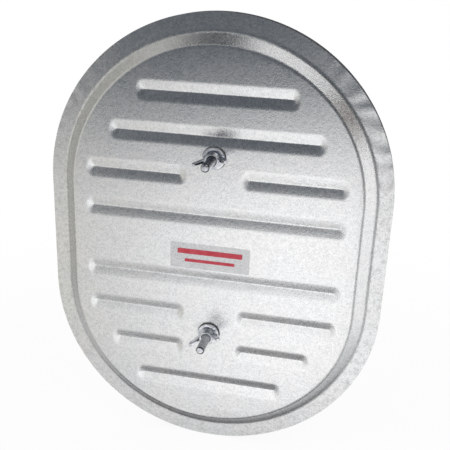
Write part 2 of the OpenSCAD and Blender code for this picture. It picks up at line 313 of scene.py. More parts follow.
def galvanised_sheet(colours):
    """Zinc coated sheet: crystals, specks, rolling streaks, warm and cool clouds, and stained flanges."""
    f = Finish("galvanised_sheet")
    place = f.place()
    crystal = f.node("ShaderNodeSeparateColor", {}, {0: f.cells(place, 420.0, "Color")})
    fine = f.cloud(place, 950.0, 2.0)
    coarse = f.cloud(place, 330.0, 2.0)
    cloud = f.cloud(place, 30.0, 3.0)
    streak = f.cloud(f.stretched((12.0, 12.0, 700.0)), 1.0, 2.0)
    mottle = f.ramp(0.64 * fine + 0.20 * coarse + 0.10 * crystal + 0.06 * streak, 0.34, 0.64)
    light = f.mix(f.ramp(cloud, 0.35, 0.65), colours.sheet_cool, colours.sheet_light)
    base = f.mix(mottle, colours.sheet_dark, light)
    depth, = f.split(place, "Y")
    # A flange lies nearer the middle of the gap than a flat does
    on_flange = f.ramp(abs(depth - GAP_Y), 8.5 * MM, 6.8 * MM)
    stain = f.ramp(f.cloud(place, 230.0, 3.0), 0.49, 0.68) * on_flange
    base = f.mix(0.5 * stain, base, colours.sheet_stain)
    rough = 0.21 + 0.05 * cloud + 0.06 * fine + 0.03 * crystal + 0.05 * stain
    normal = f.bump(1.5 * fine + 0.9 * coarse + 0.2 * crystal, 1.0, 0.10 * MM)
    return f.surface(Base_Color=base, Metallic=1.0, Roughness=rough, Normal=normal)


def cut_steel(colours):
    """Sheared edge of the sheet: bare steel with zinc dragged over it."""
    f = Finish("cut_steel_edge")
    drag = f.cloud(f.stretched((300.0, 900.0, 300.0)), 1.0, 2.0)
    base = f.mix(f.ramp(drag, 0.45, 0.7), colours.cut_edge, colours.sheet_dark)
    return f.surface(Base_Color=base, Metallic=1.0, Roughness=0.35 + 0.2 * drag)


def zinc_plate(colours):
    """Bright zinc plate on small steel pieces, duller in patches, with painted shade in the thread's roots.
    """
    f = Finish("zinc_plate")
    place = f.place()
    haze = f.cloud(place, 260.0, 4.0)
    speck = f.cloud(place, 2200.0, 2.0)
    base = f.mix(f.ramp(haze, 0.30, 0.62), colours.zinc_dark, colours.zinc_light)
    across, along, up = f.split(place, "XYZ")
    above = abs(up) - BOLT_Z
    radius = f.node("ShaderNodeMath", {"operation": "SQRT"}, {0: across * across + above * above})
    # Painted shade in the thread's roots: between the thread's crests and its core, and not on the bolt's
    # tip
    root = f.ramp(radius, 3.95 * MM, 3.7 * MM) * f.ramp(radius, 2.7 * MM, 3.05 * MM)
    behind_tip = f.ramp(along, BOLT_LOW.y + 0.7 * MM, BOLT_LOW.y + 1.2 * MM)
    base = f.mix(root * behind_tip, base, colours.thread_root_shade)
    normal = f.bump(speck + 0.6 * haze, 0.10, 0.05 * MM)
    return f.surface(Base_Color=base, Metallic=1.0, Roughness=0.05 + 0.08 * haze + 0.05 * speck,
                     Normal=normal)


def spring_steel(colours):
    """Drawn, oiled wire and strip."""
    f = Finish("spring_steel")
    place = f.place()
    oil = f.cloud(place, 180.0, 3.0)
    draw = f.cloud(f.stretched((2500.0, 500.0, 2500.0)), 1.0, 2.0)
    base = f.mix(f.ramp(oil + 0.4 * draw, 0.45, 0.95), colours.spring_dark, colours.spring_light)
    return f.surface(Base_Color=base, Metallic=1.0, Roughness=0.28 + 0.2 * oil,
                     Normal=f.bump(draw, 0.15, 0.05 * MM))


def foam_rubber(colours):
    """Closed cell foam strip with open pores."""
    f = Finish("foam_rubber")
    place = f.place()
    pore = f.cells(place, 1500.0, "Distance")
    patch = f.cloud(place, 90.0, 3.0)
    base = f.mix(f.ramp(pore + 0.5 * patch, 0.35, 0.85), colours.foam_dark, colours.foam_light)
    return f.surface(Base_Color=base, Roughness=0.80 + 0.15 * patch,
                     Normal=f.bump(pore, 0.6, 0.3 * MM))


def black_rubber(colours):
    """Moulded rubber with a little dust."""
    f = Finish("black_rubber")
    place = f.place()
    dust = f.cloud(place, 350.0, 4.0)
    grain = f.cloud(place, 3000.0, 2.0)
    base = f.mix(f.ramp(dust, 0.4, 0.75), colours.rubber_dark, colours.rubber_light)
    return f.surface(Base_Color=base, Roughness=0.50 + 0.25 * dust,
                     Normal=f.bump(grain, 0.2, 0.05 * MM))


def clear_film(colours):
    """Thin clear film with cloudy adhesive under it."""
    f = Finish("clear_film")
    place = f.place()
    glue = f.cloud(place, 120.0, 4.0)
    orange_peel = f.cloud(place, 600.0, 2.0)
    base = f.mix(glue, colours.film, [0.94 * c for c in colours.film])
    return f.surface(Base_Color=base, Roughness=0.22 + 0.12 * glue, Alpha=0.20 + 0.12 * glue,
                     Normal=f.bump(orange_peel, 0.05, 0.1 * MM))


def red_print(colours):
    """Screen printed red ink, thinner in specks."""
    f = Finish("red_print")
    place = f.place()
    speck = f.cloud(place, 1600.0, 3.0)
    patch = f.cloud(place, 150.0, 3.0)
    base = f.mix(f.ramp(speck + 0.6 * patch, 0.6, 1.0), colours.print_dark, colours.print_light)
    return f.surface(Base_Color=base, Roughness=0.42 + 0.2 * speck)


# Mesh helpers


def arc(centre, radius, first, last, steps):
    """Points of an arc about a centre, with the angles in degrees."""
    turns = [math.radians(first + (last - first) * i / steps) for i in range(steps + 1)]
    return [(centre[0] + radius * math.cos(t), centre[1] + radius * math.sin(t)) for t in turns]


def draw_chain(bm, points, closed=False):
    """Joins points with edges, and returns the vertices and edges."""
    verts = [bm.verts.new(p) for p in points]
    ends = verts[1:] + verts[:1] if closed else verts[1:]
    return verts + [bm.edges.new(pair) for pair in zip(verts, ends)]


def everything(bm):
    """All that a mesh holds, as input for an operator."""
    return bm.verts[:] + bm.edges[:] + bm.faces[:]


def with_edges(faces):
    """Faces with their edges and vertices, as input for an operator."""
    return faces + list({e for f in faces for e in f.edges}) + list({v for f in faces for v in f.verts})


def only(kind, made):
    """The verts, edges or faces among what an operator made."""
    return [g for g in made["geom"] if isinstance(g, kind)]


def ring_edges(bm, verts):
    """Edges that join the given vertices."""
    chosen = set(verts)
    return [e for e in bm.edges if e.verts[0] in chosen and e.verts[1] in chosen]


def level_ring(bm, radius, z, squareness=2):
    """Edges of a ring about z: round, or with a higher squareness square with round corners."""
    made = bmesh.ops.create_circle(bm, segments=RING_STEPS, radius=radius,
                                   matrix=Matrix.Translation((0, 0, z)))["verts"]
    for vert in made:
        reach = sum(abs(c / radius) ** squareness for c in vert.co.xy) ** (1 / squareness)
        vert.co.xy /= reach
    return ring_edges(bm, made)


def face_outwards(bm):
    """Points all faces outwards."""
    bmesh.ops.recalc_face_normals(bm, faces=bm.faces)


def clean(bm):
    """Welds doubles and points all faces outwards."""
    bmesh.ops.remove_doubles(bm, verts=bm.verts, dist=WELD)
    face_outwards(bm)


def turned(points, steps, closed=True):
    """A body of revolution about z, from (radius, height) points."""
    bm = bmesh.new()
    geom = draw_chain(bm, [(r, 0.0, z) for r, z in points], closed)
    bmesh.ops.spin(bm, geom=geom, cent=(0, 0, 0), axis=(0, 0, 1), angle=math.tau, steps=steps,
                   use_merge=True)
    clean(bm)
    return bm


def set_on_bolt(bm, side, y):
    """Turns a piece made along z to point at the viewer, on the upper or the lower bolt's axis."""
    place = Matrix.Translation((0, y, side * BOLT_Z)) @ TO_VIEWER
    bmesh.ops.transform(bm, matrix=place, verts=bm.verts)


def show(name, bm, *finishes, smooth_below=35):
    """Makes an object of a mesh, smooth except where it bends more than an angle in degrees."""
    limit = math.radians(smooth_below)
    for edge in bm.edges:
        edge.smooth = edge.is_manifold and edge.calc_face_angle(math.pi) < limit
    for face in bm.faces:
        face.smooth = True
    mesh = bpy.data.meshes.new(name)
    bm.to_mesh(mesh)
    bm.free()
    for finish in finishes:
        mesh.materials.append(finish)
    piece = bpy.data.objects.new(name, mesh)
    bpy.context.collection.objects.link(piece)
    return piece


def fit(piece, node, body):
    """Lets a piece stand for a CAD node and ride on its body."""
    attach(piece, body)
    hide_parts(node)


def sweep_quarter(bm, section, closed, straight, arc_steps, side_steps):
    """Sweeps (radius, y) points round a quarter of an obround whose half side depends on the radius."""
    geom = draw_chain(bm, [(r, y, 0.0) for r, y in section], closed)
    bmesh.ops.spin(bm, geom=geom, cent=(0, 0, 0), axis=(0, -1, 0), angle=math.pi / 2, steps=arc_steps)
    ends = [e for e in bm.edges if all(abs(v.co.z) < WELD for v in e.verts)]
    for vert in bm.verts:
        vert.co.z += straight(math.hypot(vert.co.x, vert.co.z))
    foot = only(BMVert, bmesh.ops.extrude_edge_only(bm, edges=ends))
    for vert in foot:
        vert.co.z = 0.0
    # The straight sides are the only edges here that are longer than a step of the section
    longest_step = 10 * MM
    sides = [e for e in {e for v in foot for e in v.link_edges} if e.calc_length() > longest_step]
    bmesh.ops.subdivide_edges(bm, edges=sides, cuts=side_steps - 1, use_grid_fill=True)


def mirror_quarter(bm):
    """Makes a whole door outline of its upper right quarter."""
    for axis in "XZ":
        bmesh.ops.mirror(bm, geom=everything(bm), axis=axis, merge_dist=WELD)
    clean(bm)


def smooth_max(a, b, width):
    """Greater of two values, rounded over a width."""
    over = max(width - abs(a - b), 0.0) / width
    return max(a, b) + over * over * width / 4


# Stamped pans


# Spacing of the cuts in a pan's flat away from its grooves
FLAT_GRID = 9 * MM


class Stamping:
    """Layout of a stamped pan, worked out from its sizes."""

    def __init__(self, pan, back, face):
        self.pan = pan
        self.back = back
        self.face = face
        self.out = 1 if face > back else -1
        self.depth = abs(face - back) - pan.sheet
        self.rim_side = pan.half_height - pan.half_width
        self.foot = pan.half_width - pan.flange_side
        self.side = pan.half_height - pan.flange_end - self.foot
        self.tangent = pan.bend_radius * math.tan(pan.wall_slope / 2)
        self.flat = self.foot + pan.foot_radius * math.tan(pan.wall_slope / 2)
        self.top = self.foot - self.depth / math.tan(pan.wall_slope)
        self.grooves = list(self.lay_grooves())

    def section(self):
        """Outward face of the sheet from the rim to the edge of the flat, as (radius, y)."""
        pan = self.pan
        half = pan.sheet / 2
        slope = math.degrees(pan.wall_slope)
        reach = pan.half_width - self.flat
        steps = 8
        flange = [(self.flat + reach * i / steps, pan.sheet) for i in range(steps, 0, -1)]
        lower = arc((self.flat, half + pan.foot_radius), pan.foot_radius - half, 270, 270 - slope, steps)
        upper = arc((self.top - self.tangent, half + self.depth - pan.bend_radius),
                    pan.bend_radius + half, 90 - slope, 90, steps)
        return [(r, self.back + self.out * h) for r, h in flange + lower + upper]

    def straight(self, radius):
        """Half side of the obround at a radius: longer at the rim than at the pan's foot."""
        share_out = (radius - self.flat) / (self.pan.half_width - self.flat)
        return self.side + (self.rim_side - self.side) * min(max(share_out, 0.0), 1.0)

    def lay_grooves(self):
        """Each groove as (middle x, middle z, half length)."""
        pan = self.pan
        for row in range(pan.groove_rows):
            z = pan.groove_first + row * pan.groove_pitch
            half_width = math.sqrt(self.top ** 2 - max(z - self.side, 0.0) ** 2)
            reach = half_width - (pan.middle_margin if row < 2 else pan.outer_margin)
            piece = (reach - pan.groove_break / 2) / 2
            for side in (1, -1):
                if row == 1 or (row == 2 and side < 0):
                    yield from ((end * (reach - piece), side * z, piece) for end in (1, -1))
                else:
                    yield 0.0, side * z, reach

    def sunk(self, x, z):
        """Share of the groove depth at a point of the flat: hollow flanks, round ends, soft shoulders."""
        pan = self.pan
        crease, shoulder, hollow = 0.3 * MM, 0.15, 1.2
        deep = 0.0
        for middle, height, half_length in self.grooves:
            across = math.hypot(z - height, crease) / (pan.groove_width / 2)
            beyond = max(abs(x - middle) - half_length + pan.groove_end, 0.0) / pan.groove_end
            deep = max(deep, smooth_max(1 - math.hypot(across, beyond), 0.0, shoulder))
        return deep ** hollow

    def lines_along(self):
        """Heights at which the flat is cut, close together across each groove."""
        half = self.pan.groove_width / 2
        shares = (0, 0.05, 0.12, 0.22, 0.35, 0.5, 0.65, 0.78, 0.86, 0.92, 0.98, 1.04, 1.1, 1.2)
        across = {sign * half * s for s in shares for sign in (1, -1)}
        heights = {round(abs(z), 6) for _, z, _ in self.grooves}
        cuts = {z + a for z in heights for a in across}
        cuts |= {FLAT_GRID * i for i in range(1, 20)}
        return sorted(cuts)

    def lines_up(self):
        """Distances from the middle at which the flat is cut, close together at each groove's ends."""
        end_length = self.pan.groove_end
        shares = (-0.15, -0.05, 0.05, 0.15, 0.27, 0.4, 0.55, 0.7, 0.85, 1.0, 1.12)
        cuts = {round(abs(m + end * (h - end_length * s)), 6)
                for m, _, h in self.grooves for end in (1, -1) for s in shares}
        cuts |= {FLAT_GRID * i for i in range(1, 15)}
        return sorted(cuts)


def cut_flat(bm, mark, axis, places):
    """Cuts the marked flat faces at each place along an axis."""
    normal = Vector((0, 0, 0))
    normal[axis] = 1.0
    for place in places:
        faces = []
        for face in bm.faces:
            if face[mark]:
                reach = [v.co[axis] for v in face.verts]
                if min(reach) < place - WELD and max(reach) > place + WELD:
                    faces.append(face)
        bmesh.ops.bisect_plane(bm, geom=with_edges(faces), dist=WELD, plane_co=normal * place,
                               plane_no=normal)


def pierce(bm, mark, x_half, z_middle):
    """Takes a square out of the flat and returns the edges round the hole."""
    inside = [f for f in bm.faces if f[mark] and abs(f.calc_center_median().x) < x_half
              and abs(f.calc_center_median().z - z_middle) < x_half]
    rims = {e for f in inside for e in f.edges if not all(other in inside for other in e.link_faces)}
    bmesh.ops.delete(bm, geom=inside, context="FACES")
    return [e for e in rims if e.is_valid]


def stamp_pan(pan, back, face, round_holes):
    """One face of a pan: flange, wall, flat and grooves, with its bolt holes."""
    form = Stamping(pan, back, face)
    bm = bmesh.new()
    mark = bm.faces.layers.int.new("flat")
    sweep_quarter(bm, form.section(), False, form.straight, arc_steps=110, side_steps=20)
    edge = [e for e in bm.edges if e.is_boundary and all(abs(v.co.y - face) < WELD for v in e.verts)]
    ends = [v for e in edge for v in e.verts if min(abs(v.co.x), abs(v.co.z)) < WELD]
    middle = bm.verts.new((0.0, face, 0.0))
    edge += [bm.edges.new((v, middle)) for v in ends]
    for flat in bmesh.ops.edgeloop_fill(bm, edges=edge)["faces"]:
        flat[mark] = 1
    # A round hole is bridged to a square that is cut out round it
    hole = 1.6 * pan.bolt_hole if round_holes else pan.neck_hole
    cut_flat(bm, mark, 2, form.lines_along() + [BOLT_Z - hole, BOLT_Z + hole])
    cut_flat(bm, mark, 0, form.lines_up() + [hole])
    mirror_quarter(bm)
    for side in (1, -1):
        rim = pierce(bm, mark, hole, side * BOLT_Z)
        if round_holes:
            ring = Matrix.Translation((0, face, side * BOLT_Z)) @ TO_VIEWER
            made = bmesh.ops.create_circle(bm, segments=48, radius=pan.bolt_hole, matrix=ring)["verts"]
            bmesh.ops.bridge_loops(bm, edges=rim + ring_edges(bm, made))
    face_outwards(bm)
    dress_sheet(bm, form)
    return bm


def dress_sheet(bm, form):
    """Sinks the grooves into the flat, and adds its faint waves and the flange's press ripples."""
    pan = form.pan
    flange_level = form.back + form.out * pan.sheet
    # No waves this near a bolt, and full waves this much farther out
    still, settle = 12 * MM, 20 * MM
    # Turn from level at which the press ripples are strongest, and their spread to either side
    peak, spread = math.radians(25), math.radians(20)
    # The factors of x and z are features of the noise per metre
    for vert in bm.verts:
        x, y, z = vert.co
        radius = math.hypot(x, max(abs(z) - form.side, 0.0))
        if abs(y - form.face) < WELD:
            calm = min(1.0, max(0.0, (math.hypot(x, abs(z) - BOLT_Z) - still) / settle))
            wave = noise.noise((11 * x, form.out, 11 * z)) + 0.6 * noise.noise((27 * x, 4.0, 27 * z))
            vert.co.y -= form.out * (pan.groove_depth * form.sunk(x, z) + pan.wave * calm * wave)
        elif abs(y - flange_level) < WELD and radius > form.foot:
            share_out = (radius - form.foot) / (pan.half_width - form.foot)
            past_side = abs(z) - form.rim_side
            turn = math.atan2(past_side, abs(x)) if past_side > 0 else 0.0
            along = turn * pan.half_width if turn else past_side
            strength = 1.0 if x > 0 and z > 0 else 0.25
            strength *= math.exp(-((turn - peak) / spread) ** 2)
            strength *= 0.7 + 0.9 * noise.noise((25 * x, 7.0, 25 * z))
            beat = math.sin(math.tau * along / pan.ripple_length + 5 * noise.noise((30 * x, 1.0, 30 * z)))
            vert.co.y += form.out * pan.ripple * share_out * strength * beat


# Foam rings


def foam_ring(pan, low, high):
    """Foam strip round the back of a flange, with the slit where its ends meet at the bottom."""
    bm = bmesh.new()
    r = pan.foam_round
    inner = high.x - pan.foam_width
    corners = (((high.x - r, high.y - r), 0), ((inner + r, high.y - r), 90),
               ((inner + r, low.y + r), 180), ((high.x - r, low.y + r), 270))
    section = [p for centre, start in corners for p in arc(centre, r, start, start + 90, 3)]
    sweep_quarter(bm, section, True, lambda radius: high.z - high.x, arc_steps=48, side_steps=8)
    mirror_quarter(bm)

    def near_bottom(reach):
        """Faces at the bottom of the ring that are this near the middle."""
        middles = ((f, f.calc_center_median()) for f in bm.faces)
        return [f for f, middle in middles if middle.z < 0 and abs(middle.x) < reach]

    half_joint = pan.foam_joint / 2
    for edge in (half_joint, -half_joint):
        bmesh.ops.bisect_plane(bm, geom=with_edges(near_bottom(9 * MM)), dist=WELD,
                               plane_co=(edge, 0, 0), plane_no=(1, 0, 0))
    bmesh.ops.delete(bm, geom=near_bottom(half_joint), context="FACES")
    bmesh.ops.holes_fill(bm, edges=[e for e in bm.edges if e.is_boundary], sides=0)
    face_outwards(bm)
    return bm


# Carriage bolts


def thread(bm, size, low, high):
    """Helical thread from low to high, with its tip chamfered and domed. Returns its open lower edges."""
    pitch = size.thread_pitch
    high -= size.tip_dome
    crest = size.bolt_radius
    # Depth of a unified thread, and one turn of its section as (radius, share of the pitch)
    root = crest - 0.6134 * pitch
    shape = ((root, 0.0), (root, 0.25), (crest, 0.5625), (crest, 0.6875), (root, 1.0))
    start = low - 2 * pitch
    turn_steps = 32
    geom = draw_chain(bm, [(r, 0.0, start + share_up * pitch) for r, share_up in shape])
    bmesh.ops.spin(bm, geom=geom, cent=(0, 0, 0), axis=(0, 0, 1), dvec=(0, 0, pitch / turn_steps),
                   angle=math.tau, steps=turn_steps)
    turns = 1
    while turns * pitch < high - start + 2 * pitch:
        made = bmesh.ops.duplicate(bm, geom=everything(bm))
        bmesh.ops.translate(bm, verts=only(BMVert, made), vec=(0, 0, turns * pitch))
        turns *= 2
    bmesh.ops.remove_doubles(bm, verts=bm.verts, dist=WELD)
    for end, cleared in ((high, "clear_outer"), (low, "clear_inner")):
        bmesh.ops.bisect_plane(bm, geom=everything(bm), dist=WELD / 4, plane_co=(0, 0, end),
                               plane_no=(0, 0, 1), **{cleared: True})
    rim = crest - size.tip_chamfer
    for vert in bm.verts:
        limit = min(crest, high - vert.co.z + rim)
        radius = vert.co.xy.length
        if radius > limit:
            vert.co.xy *= limit / radius
    tip = [e for e in bm.edges if e.is_boundary and abs(e.verts[0].co.z - high) < WELD]
    for share_in in (0.97, 0.9, 0.8, 0.66, 0.5, 0.3, 0.1):
        made = bmesh.ops.extrude_edge_only(bm, edges=tip)
        tip = only(BMEdge, made)
        for vert in only(BMVert, made):
            vert.co.xy *= share_in * rim / vert.co.xy.length
            vert.co.z = high + size.tip_dome * (1 - share_in ** 4)
    bmesh.ops.holes_fill(bm, edges=tip, sides=0)
    return [e for e in bm.edges if e.is_boundary]


def carriage_bolt(size):
    """Bolt along z with its seat at the origin: domed head below, square neck and threaded shank above."""
    bm = bmesh.new()
    neck_top = size.neck_length
    runout, edge = 0.6 * MM, 0.25 * MM
    rings = [thread(bm, size, neck_top + runout, BOLT_HIGH.y - BOLT_LOW.y - size.head_height),
             level_ring(bm, 0.9 * size.bolt_radius, neck_top),
             level_ring(bm, size.neck_half, neck_top, squareness=12),
             level_ring(bm, size.neck_half, 0.0, squareness=12)]
    for first, second in zip(rings, rings[1:]):
        bmesh.ops.bridge_loops(bm, edges=first + second)
    dome = (size.head_radius ** 2 + size.head_height ** 2) / (2 * size.head_height)
    half = math.degrees(math.asin(size.head_radius / dome))
    under = 1.5 * size.neck_half
    profile = arc((0.0, dome - size.head_height), dome, 270, 270 + half * 0.97, 14)
    profile += [(size.head_radius, -edge), (size.head_radius - edge, 0.0), (under, 0.0)]
    geom = draw_chain(bm, [(r, 0.0, z) for r, z in profile])
    bmesh.ops.spin(bm, geom=geom, cent=(0, 0, 0), axis=(0, 0, 1), angle=math.tau, steps=RING_STEPS,
                   use_merge=True)
    bmesh.ops.remove_doubles(bm, verts=bm.verts, dist=WELD)
    seat = [e for e in bm.edges if e.is_boundary and abs(e.verts[0].co.z) < WELD
            and e.verts[0].co.xy.length > 0.99 * under]
    bmesh.ops.bridge_loops(bm, edges=seat + [e for e in rings[-1] if e.is_valid])
    face_outwards(bm)
    return bm


# Wing nuts


# Corners of a wing nut's cage; each wing grows from four of its sides
HUB_STEPS = 32


def wing_nut(size):
    """Cage of a cast wing nut along z, base at the origin, for a subdivision surface."""
    hub, top, tall, bore = size.hub_radius, size.hub_top_radius, size.hub_height, size.nut_bore
    slope = (hub - top) / tall
    # The wings grow between the second and the last of these heights
    walls = [(hub - slope * z, z) for z in (0.35 * MM, 1.2 * MM, 3.4 * MM, 6.2 * MM, tall - 0.9 * MM)]
    profile = [(bore + 0.5 * MM, 0.0), (hub - 0.5 * MM, 0.0), (hub, 0.12 * MM)] + walls
    profile += [(top, tall - 0.25 * MM), (top - 0.5 * MM, tall), (bore + 0.6 * MM, tall),
                (bore, tall - 0.7 * MM), (bore, 0.5 * tall), (bore, 0.5 * MM)]
    bm = turned(profile, HUB_STEPS)
    for side in (1, -1):
        grow_wing(bm, size, side, walls[1][1], walls[-1][1])
    face_outwards(bm)
    return bm


def grow_wing(bm, size, side, low_z, high_z):
    """Extrudes one wing out of the hub's wall, section by section from root to tip."""
    half_root = 2 * math.tau / HUB_STEPS
    faces = []
    for face in bm.faces:
        middle = face.calc_center_median()
        if (middle.xy.length > 0.9 * size.hub_top_radius and low_z < middle.z < high_z
                and abs(math.atan2(middle.y, side * middle.x)) < half_root):
            faces.append(face)
    # Lower and upper edge of each section as (distance out, height) in millimetres, and its
    # thickness as a share of the wing's
    sections = (((8.3, 2.2), (6.6, 8.8), 1.35), ((10.4, 4.5), (7.7, 10.0), 1.12),
                ((12.4, 7.0), (8.7, 11.3), 1.0), ((14.2, 9.8), (9.7, 12.7), 1.0),
                ((15.6, 12.6), (10.7, 14.1), 1.0), ((16.0, 15.0), (11.8, 15.6), 1.0),
                ((15.3, 16.8), (13.0, 17.0), 0.85))
    # Each vertex of the last section, with its shares of the half thickness and of the height
    grid = [(v.co.copy(), math.atan2(v.co.y, side * v.co.x) / half_root,
             (v.co.z - low_z) / (high_z - low_z)) for v in {v for f in faces for v in f.verts}]
    for lower, upper, thick in sections:
        made = bmesh.ops.extrude_face_region(bm, geom=faces)
        bmesh.ops.delete(bm, geom=faces, context="FACES")
        faces = only(BMFace, made)
        moved = []
        for vert in only(BMVert, made):
            across, up = min(grid, key=lambda old: (old[0] - vert.co).length_squared)[1:]
            out, height = Vector(lower).lerp(Vector(upper), up) * MM
            vert.co = (side * out, thick * size.wing_thickness / 2 * across, height)
            moved.append((vert.co.copy(), across, up))
        grid = moved


# Washers, seals and retainers


def rounded_ring(bore, outer, thickness, rounding, bulge=0.0):
    """Ring about z with rounded edges, whose outer wall may bulge."""
    r = rounding
    top = thickness - r
    profile = arc((bore + r, r), r, 180, 270, 3) + arc((outer - r, r), r, 270, 360, 3)
    profile.append((outer + bulge, thickness / 2))
    profile += arc((outer - r, top), r, 0, 90, 3) + arc((bore + r, top), r, 90, 180, 3)
    return turned(profile, steps=96)


def square_bore_seal(outer, thickness, hole):
    """Rubber disc with a square hole, between the bolt's head and the inner pan."""
    bm = bmesh.new()
    rim = outer - 0.3 * MM
    loops = [level_ring(bm, hole, z, squareness=14) for z in (0.0, thickness)]
    loops += [level_ring(bm, radius, up * thickness)
              for radius, up in ((rim, 1.0), (outer, 0.7), (outer, 0.3), (rim, 0.0))]
    for first, second in zip(loops, loops[1:] + loops[:1]):
        bmesh.ops.bridge_loops(bm, edges=first + second)
    face_outwards(bm)
    return bm


def push_nut(bore, outer, height):
    """Dished spring steel retainer with slotted fingers that grip the bolt."""
    sheet, finger = 0.4 * MM, 1.7 * MM
    steps, fingers = 72, 6
    profile = [(bore, height - 0.1 * MM), (bore + 0.9 * MM, height - 0.45 * MM), (bore + finger, sheet),
               (bore + 2.3 * MM, sheet), (outer - 0.9 * MM, height - 0.15 * MM), (outer, height)]
    bm = turned(profile, steps, closed=False)
    slots = []
    for face in bm.faces:
        middle = face.calc_center_median()
        step = round(math.atan2(middle.y, middle.x) / math.tau * steps - 0.5)
        if step % (steps // fingers) in (0, 1) and middle.xy.length < bore + finger:
            slots.append(face)
    bmesh.ops.delete(bm, geom=slots, context="FACES")
    face_outwards(bm)
    if sum(f.normal.z for f in bm.faces) < 0:
        bmesh.ops.reverse_faces(bm, faces=bm.faces)
    bmesh.ops.solidify(bm, geom=bm.faces[:], thickness=sheet)
    face_outwards(bm)
    return bm


# Springs


def coil_spring(size, tall):
    """Conical spring along z with a closed turn at each end, as a ring of the wire drawn round a helix."""
    wire = size.wire_radius
    rings_per_turn = 36
    steps = round(size.spring_turns * rings_per_turn)
    closed_rise = 2.2 * wire

    def wire_middle(turns):
        """Place and turn of the wire's section after some turns from the wide end."""
        low, high = wire, tall - wire
        last = size.spring_turns
        if turns < 1:
            z = low + closed_rise * turns
        elif turns > last - 1:
            z = high - closed_rise * (last - turns)
        else:
            z = low + closed_rise + (high - low - 2 * closed_rise) * (turns - 1) / (last - 2)
        radius = size.spring_wide + (size.spring_narrow - size.spring_wide) * turns / last
        turn = math.tau * turns
        middle = Matrix.Translation((radius * math.cos(turn), radius * math.sin(turn), z))
        return middle @ Matrix.Rotation(turn, 4, "Z") @ TO_VIEWER

    bm = bmesh.new()
    place = wire_middle(0)
    made = bmesh.ops.create_circle(bm, segments=14, radius=wire, matrix=place)["verts"]
    loop = ring_edges(bm, made)
    bmesh.ops.edgeloop_fill(bm, edges=loop)
    for step in range(1, steps + 1):
        following = wire_middle(step / rings_per_turn)
        made = bmesh.ops.extrude_edge_only(bm, edges=loop)
        loop = only(BMEdge, made)
        bmesh.ops.transform(bm, matrix=following @ place.inverted(), verts=only(BMVert, made))
        place = following
    bmesh.ops.edgeloop_fill(bm, edges=loop)
    face_outwards(bm)
    return bm


# Label


def film_sheet():
    """Clear film with rounded corners that lies on the pan, a little uneven from the glue under it."""
    bm = bmesh.new()
    middle = (FILM_LOW + FILM_HIGH) / 2
    size = FILM_HIGH - FILM_LOW
    place = Matrix.Translation((middle.x, FILM_HIGH.y, middle.z)) @ TO_VIEWER
    place = place @ Matrix.Diagonal((size.x / 2, size.z / 2, 1, 1))
    bmesh.ops.create_grid(bm, x_segments=60, y_segments=24, size=1, matrix=place)
    corner, glue = 1.5 * MM, 0.04 * MM
    for vert in bm.verts:
        over_x = abs(vert.co.x - middle.x) - (size.x / 2 - corner)
        over_z = abs(vert.co.z - middle.z) - (size.z / 2 - corner)
        if over_x > 0 and over_z > 0:
            pull = min(1.0, corner / math.hypot(over_x, over_z))
            vert.co.x -= math.copysign(over_x * (1 - pull), vert.co.x - middle.x)
            vert.co.z -= math.copysign(over_z * (1 - pull), vert.co.z - middle.z)
        uneven = 0.5 + 0.5 * noise.noise((150 * vert.co.x, 2.0, 150 * vert.co.z))
        vert.co.y -= glue * uneven
    face_outwards(bm)
    if sum(f.normal.y for f in bm.faces) > 0:
        bmesh.ops.reverse_faces(bm, faces=bm.faces)
    return bm


# Stage


# Place and turn, in degrees, of a camera fitted to the photograph
EYE_PLACE = (0.13107, -0.60303, 0.24560)
EYE_TURN = (69.904, -2.077, 12.167)
WHITE = (1.0, 1.0, 1.0)


class DUCTDOOR_OT_stage(Operator):
    """Set up the floor, the soft light and the camera"""

    bl_idname = "duct_door.stage"
    bl_label = "Stage"

    def execute(self, context):
        level = context.scene.duct_door_stage
        context.scene.view_settings.view_transform = "Standard"
        camera = bpy.data.cameras.new("camera")
        camera.lens = level.lens
        camera.sensor_width = 36.0
        eye = bpy.data.objects.new("camera", camera)
        eye.location = EYE_PLACE
        eye.rotation_euler = [math.radians(a) for a in EYE_TURN]
        context.collection.objects.link(eye)
        context.scene.camera = eye
        context.scene.world = studio_sky(level)
        under_door = Matrix.Translation((0, 0, PAN_LOW.z))
        floor = sheet_of_stage("floor", 12.0, 12.0, under_door, pale_floor(level))
        floor.visible_glossy = False
        before_door = Matrix.Translation((-0.26, -0.233, -0.28)) @ TO_VIEWER
        card = sheet_of_stage("dark_card", 0.9, 1.44, before_door, dull_card(level))
        card.visible_camera = False
        card.visible_diffuse = False
        card.visible_shadow = False
        card.visible_transmission = False
        for name, x in (("left", -1.1), ("right", 1.0)):
            soft_lamp(name, level.lamp, Vector((x, -0.9, 1.3)))
        return {"FINISHED"}


def sheet_of_stage(name, width, depth, place, finish):
    """A flat sheet beside or under the door that isn't part of it."""
    bm = bmesh.new()
    bmesh.ops.create_grid(bm, x_segments=1, y_segments=1, size=0.5,
                          matrix=place @ Matrix.Diagonal((width, depth, 1, 1)))
    sheet = show(name, bm, finish)
    return sheet


def soft_lamp(name, power, place):
    """A broad lamp that looks at the door's middle."""
    lamp = bpy.data.lights.new("soft_lamp_" + name, "AREA")
    lamp.energy = power
    lamp.size = 0.9
    holder = bpy.data.objects.new("soft_lamp_" + name, lamp)
    holder.location = place
    holder.rotation_euler = (-place).to_track_quat("-Z", "Y").to_euler()
    holder.visible_glossy = False
    bpy.context.collection.objects.link(holder)


def seen_directly(f):
    """One for rays that show the surroundings: to the camera, in metal or through film."""
    names = ("Is Camera Ray", "Is Glossy Ray", "Is Transmission Ray")
    rays = [f.node("ShaderNodeLightPath", output=name) for name in names]
    return f.node("ShaderNodeMath", {"operation": "MINIMUM"}, {0: rays[0] + rays[1] + rays[2], 1: 1.0})


